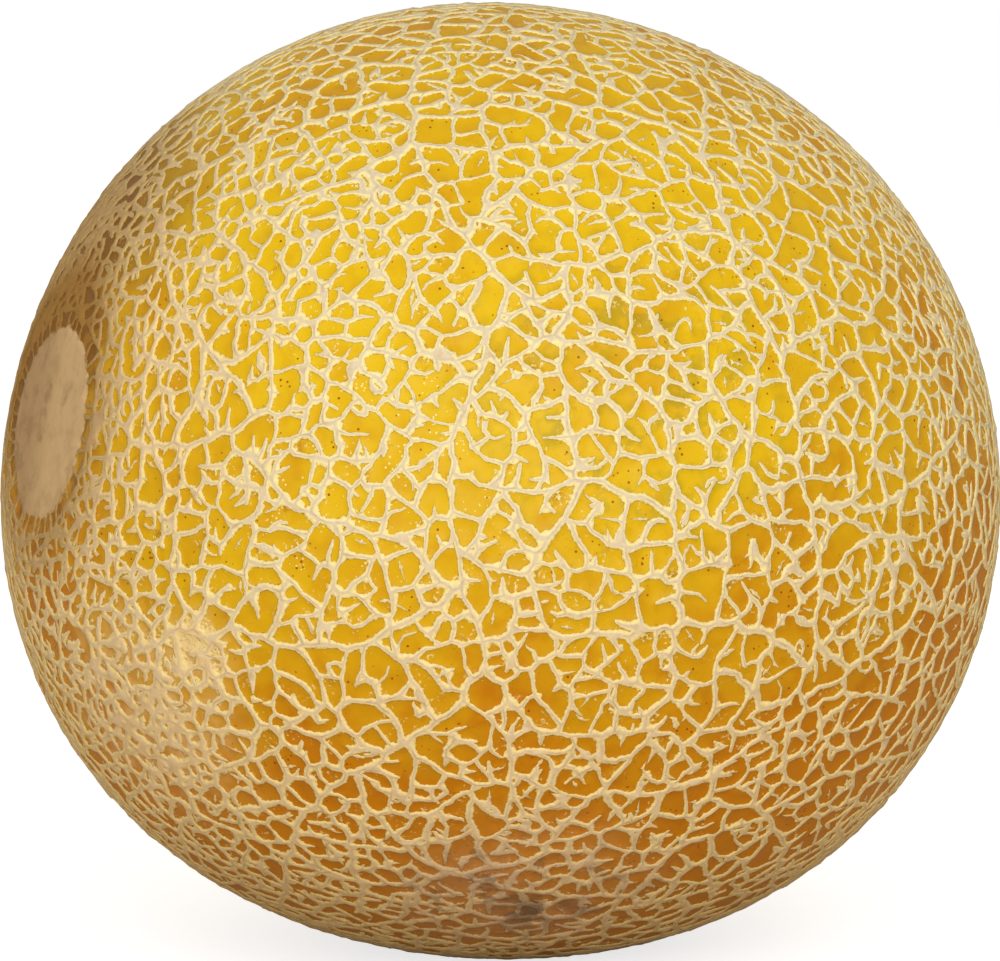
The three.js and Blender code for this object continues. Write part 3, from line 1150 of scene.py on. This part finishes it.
class MelonColorSettings(bpy.types.PropertyGroup):
    """Colours of the rind, the cork and the scars."""

    ripe: paint("Ripe", "Ripe skin", 222, 185, 16)
    # deep is both the skin's own orange and the colour of its painted shade.
    deep: paint("Deep", "Deeper, orange skin", 190, 120, 4)
    green: paint("Green", "Skin that stayed green", 156, 142, 34)
    speck: paint("Speck", "Small specks in the skin", 140, 58, 10)
    # Colour of the painted glints.
    dot: paint("Dot", "Tiny pale dots in the skin", 255, 240, 170)
    # collar also carries the painted shade of the browned patch over the stalk's scar.
    collar: paint("Collar", "Brown skin, close round the stalk's scar and underneath", 128, 84, 18)
    # Colour of the painted shadow at the foot of the cork.
    groove: paint("Foot shadow", "Foot of the cork", 156, 98, 16)
    cork_edge: paint("Cork edge", "Edges of the cork", 250, 237, 170)
    cork_crest: paint("Cork crest", "Crest of the cork", 221, 209, 183)
    # Colour of the cork's painted warm shade, low down and round the stalk's scar.
    cork_warm: paint("Cork warm", "Warmer cork, low down and round the stalk's scar", 228, 164, 62)
    # cork_tan also carries the painted shade of the browned patch over the stalk's scar.
    cork_tan: paint("Cork tan", "Browner cork, round the stalk's scar and underneath", 160, 121, 64)
    fissure: paint("Fissure", "Cracks and grain in the cork", 196, 168, 128)
    dust: paint("Dust", "Pale haze where the melon lay", 200, 168, 138)
    soil: paint("Soil", "Marks left by the soil", 92, 72, 58)
    scuff: paint("Scuff", "Thin pale bruised skin, low beside the stalk's scar", 230, 196, 146)
    scar: paint("Scar", "Dry scar of the stalk", 208, 178, 136)
    # scar_dark serves both the scar's smudges and the painted shade on its far half.
    scar_dark: paint("Scar dark", "Smudges on the scar", 166, 136, 102)


class StudioSettings(bpy.types.PropertyGroup):
    """Camera, floor and lights."""

    azimuth: in_degrees("Azimuth", "Camera's turn about the melon", -24)
    elevation: in_degrees("Elevation", "Camera's height above level", 6)
    distance: in_mm("Distance", "Camera to the melon's middle", 720)
    view_width: in_mm("View width", "Width of the view at the melon's middle", 145.8)
    aim_drop: in_mm("Aim drop", "How far below the melon's middle the camera aims", 0.6)
    key_power: in_watts("Key", "Main lamp", 4.9)
    fill_power: in_watts("Fill", "Fill lamp", 1.1)
    sky: ratio("Sky", "Strength of the even light all round", 0.6)


# ------------------------------------------------------------------------------------------------------
# Operators

FLOOR_SIZE = 6.0  # m
FLOOR_COLOR = (0.66, 0.59, 0.46)  # as its light falls on the melon
FLOOR_SEEN = (0.55, 0.59, 0.67)  # as the camera sees it
FLOOR_GLOW = 0.74  # white added for the camera alone, so that only the shadow shows
SKY_COLOR = (1.0, 0.885, 0.68)
WHITE = (1.0, 1.0, 1.0)
SENSOR = 36.0  # mm
NEAR_CLIP = 0.01  # m

# Lamps: radians round from the camera, radians above level, metres from the melon and metres across.
Lamp = namedtuple("Lamp", "name turn height distance size")
KEY_LAMP = Lamp("key lamp", 0.1, 0.35, 0.9, 0.7)
FILL_LAMP = Lamp("fill lamp", -0.8, 0.12, 1.0, 0.9)


class OBJECT_OT_netted_melon(bpy.types.Operator):
    """Builds the melon: a rind with its raised cork net and two scars, in one closed skin"""

    bl_idname = "object.netted_melon"
    bl_label = "Netted melon"

    def execute(self, context):
        settings = in_millimetres(context.scene.melon_net)
        body = Body(CAD_BOX)
        directions, triangles, off, wide = melon_surface(settings, body)
        at, stalk, flower = place_surface(settings, body, directions, off, wide)
        a, b, c = directions[triangles].transpose(1, 0, 2)
        inward = (np.cross(b - a, c - a) * (a + b + c)).sum(axis=1) < 0
        if inward.mean() > 0.5:
            triangles = triangles[:, ::-1]

        mesh = bpy.data.meshes.new("netted melon")
        mesh.from_pydata((at * MM).tolist(), [], triangles.tolist())
        mesh.polygons.foreach_set("use_smooth", np.ones(len(triangles), bool))
        values = {"reach": np.clip(off / wide, 0, 6), "gap": np.clip(off - wide, -1, 4), "width": wide,
                  "stalk": stalk, "flower": flower}
        for name, value in values.items():
            layer = mesh.attributes.new(name, "FLOAT", "POINT")
            layer.data.foreach_set("value", value.astype(np.float32))
        layer = mesh.uv_layers.new(name="OFBake")
        layer.data.foreach_set("uv", unwrap_ball(directions, triangles).astype(np.float32).ravel())
        mesh.materials.append(melon_material(context.scene.melon_colors))
        mesh.validate()
        piece = bpy.data.objects.new("netted_melon", mesh)
        context.scene.collection.objects.link(piece)
        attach(piece, "root")
        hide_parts("melon")
        return {"FINISHED"}


def outward(azimuth, elevation):
    """The direction out from the melon at a turn about it and a height above level."""
    level = math.cos(elevation)
    return Vector((math.sin(azimuth) * level, -math.cos(azimuth) * level, math.sin(elevation)))


def stand(scene, thing, middle, back, distance):
    """Stands a camera or a lamp at a distance from the melon's middle, looking back at it."""
    thing.location = middle + back * distance
    thing.rotation_euler = back.to_track_quat("Z", "Y").to_euler()
    scene.collection.objects.link(thing)


def white_to_camera(n, shader, strength):
    """Adds white light to a surface, but only as the camera sees it."""
    seen = n.add("ShaderNodeLightPath").outputs["Is Camera Ray"]
    glow = n.add("ShaderNodeEmission", {"Strength": n.times(seen, strength)})
    return n.add("ShaderNodeAddShader", {0: shader, 1: glow.outputs[0]}).outputs[0]


class OBJECT_OT_melon_studio(bpy.types.Operator):
    """Sets up the pale floor, the soft lights and the camera"""

    bl_idname = "object.melon_studio"
    bl_label = "Melon studio"

    def execute(self, context):
        scene = context.scene
        studio = scene.melon_studio
        middle = (Vector(CAD_BOX[0]) + Vector(CAD_BOX[1])) / 2
        self.make_floor()
        self.make_sky(scene, studio.sky)
        self.make_camera(scene, studio, middle - Vector((0, 0, studio.aim_drop)))
        self.make_lamp(scene, KEY_LAMP, studio.azimuth, studio.key_power, middle)
        self.make_lamp(scene, FILL_LAMP, studio.azimuth, studio.fill_power, middle)
        scene.view_settings.view_transform = "Standard"
        return {"FINISHED"}

    def make_floor(self):
        bpy.ops.object.select_all(action="DESELECT")
        bpy.ops.mesh.primitive_plane_add(size=FLOOR_SIZE, location=(0, 0, 0))
        floor = bpy.context.object
        floor.name = "studio_floor"
        material = bpy.data.materials.new("pale floor")
        material.use_nodes = True
        n = Nodes(material.node_tree)
        shader = material.node_tree.nodes["Principled BSDF"]
        seen = n.add("ShaderNodeLightPath").outputs["Is Camera Ray"]
        n.feed(shader.inputs["Base Color"], n.mix(seen, FLOOR_COLOR, FLOOR_SEEN))
        shader.inputs["Roughness"].default_value = 0.9
        shader.inputs["Specular IOR Level"].default_value = 0.1
        end = material.node_tree.nodes["Material Output"]
        n.feed(end.inputs["Surface"], white_to_camera(n, shader.outputs[0], FLOOR_GLOW))
        floor.data.materials.append(material)

    def make_sky(self, scene, strength):
        world = bpy.data.worlds.new("soft studio")
        world.use_nodes = True
        scene.world = world
        n = Nodes(world.node_tree)
        back = world.node_tree.nodes["Background"]
        seen = n.add("ShaderNodeLightPath").outputs["Is Camera Ray"]
        n.feed(back.inputs["Color"], n.mix(seen, SKY_COLOR, WHITE))
        n.feed(back.inputs["Strength"], n.math("MAXIMUM", seen, strength))

    def make_camera(self, scene, studio, middle):
        data = bpy.data.cameras.new("camera")
        data.sensor_width = SENSOR
        data.lens = SENSOR * studio.distance / studio.view_width
        data.clip_start = NEAR_CLIP
        camera = bpy.data.objects.new("camera", data)
        stand(scene, camera, middle, outward(studio.azimuth, studio.elevation), studio.distance)
        scene.camera = camera

    def make_lamp(self, scene, lamp, azimuth, watts, middle):
        data = bpy.data.lights.new(lamp.name, "AREA")
        data.size = lamp.size
        data.energy = watts
        back = outward(azimuth + lamp.turn, lamp.height)
        stand(scene, bpy.data.objects.new(lamp.name, data), middle, back, lamp.distance)


class VIEW3D_PT_melon(bpy.types.Panel):
    """Lists the melon's settings and the steps that build it"""

    bl_label = "Galia Melon"
    bl_space_type = "VIEW_3D"
    bl_region_type = "UI"
    bl_category = "Melon"

    def draw(self, context):
        layout = self.layout
        for name, _ in GROUPS:
            group = getattr(context.scene, name)
            box = layout.box()
            for setting in group.__annotations__:
                box.prop(group, setting)
        for operator in OPERATORS:
            layout.operator(operator.bl_idname)


GROUPS = (("melon_net", MelonNetSettings), ("melon_colors", MelonColorSettings),
          ("melon_studio", StudioSettings))
OPERATORS = (OBJECT_OT_netted_melon, OBJECT_OT_melon_studio)


def register():
    for name, group in GROUPS:
        bpy.utils.register_class(group)
        setattr(bpy.types.Scene, name, bpy.props.PointerProperty(type=group))
    for operator in OPERATORS:
        bpy.utils.register_class(operator)
    bpy.utils.register_class(VIEW3D_PT_melon)


def unregister():
    bpy.utils.unregister_class(VIEW3D_PT_melon)
    for operator in reversed(OPERATORS):
        bpy.utils.unregister_class(operator)
    for name, group in reversed(GROUPS):
        delattr(bpy.types.Scene, name)
        bpy.utils.unregister_class(group)


def main():
    register()
    bpy.ops.object.netted_melon()
    bpy.ops.object.melon_studio()


if __name__ == "__main__":
    main()
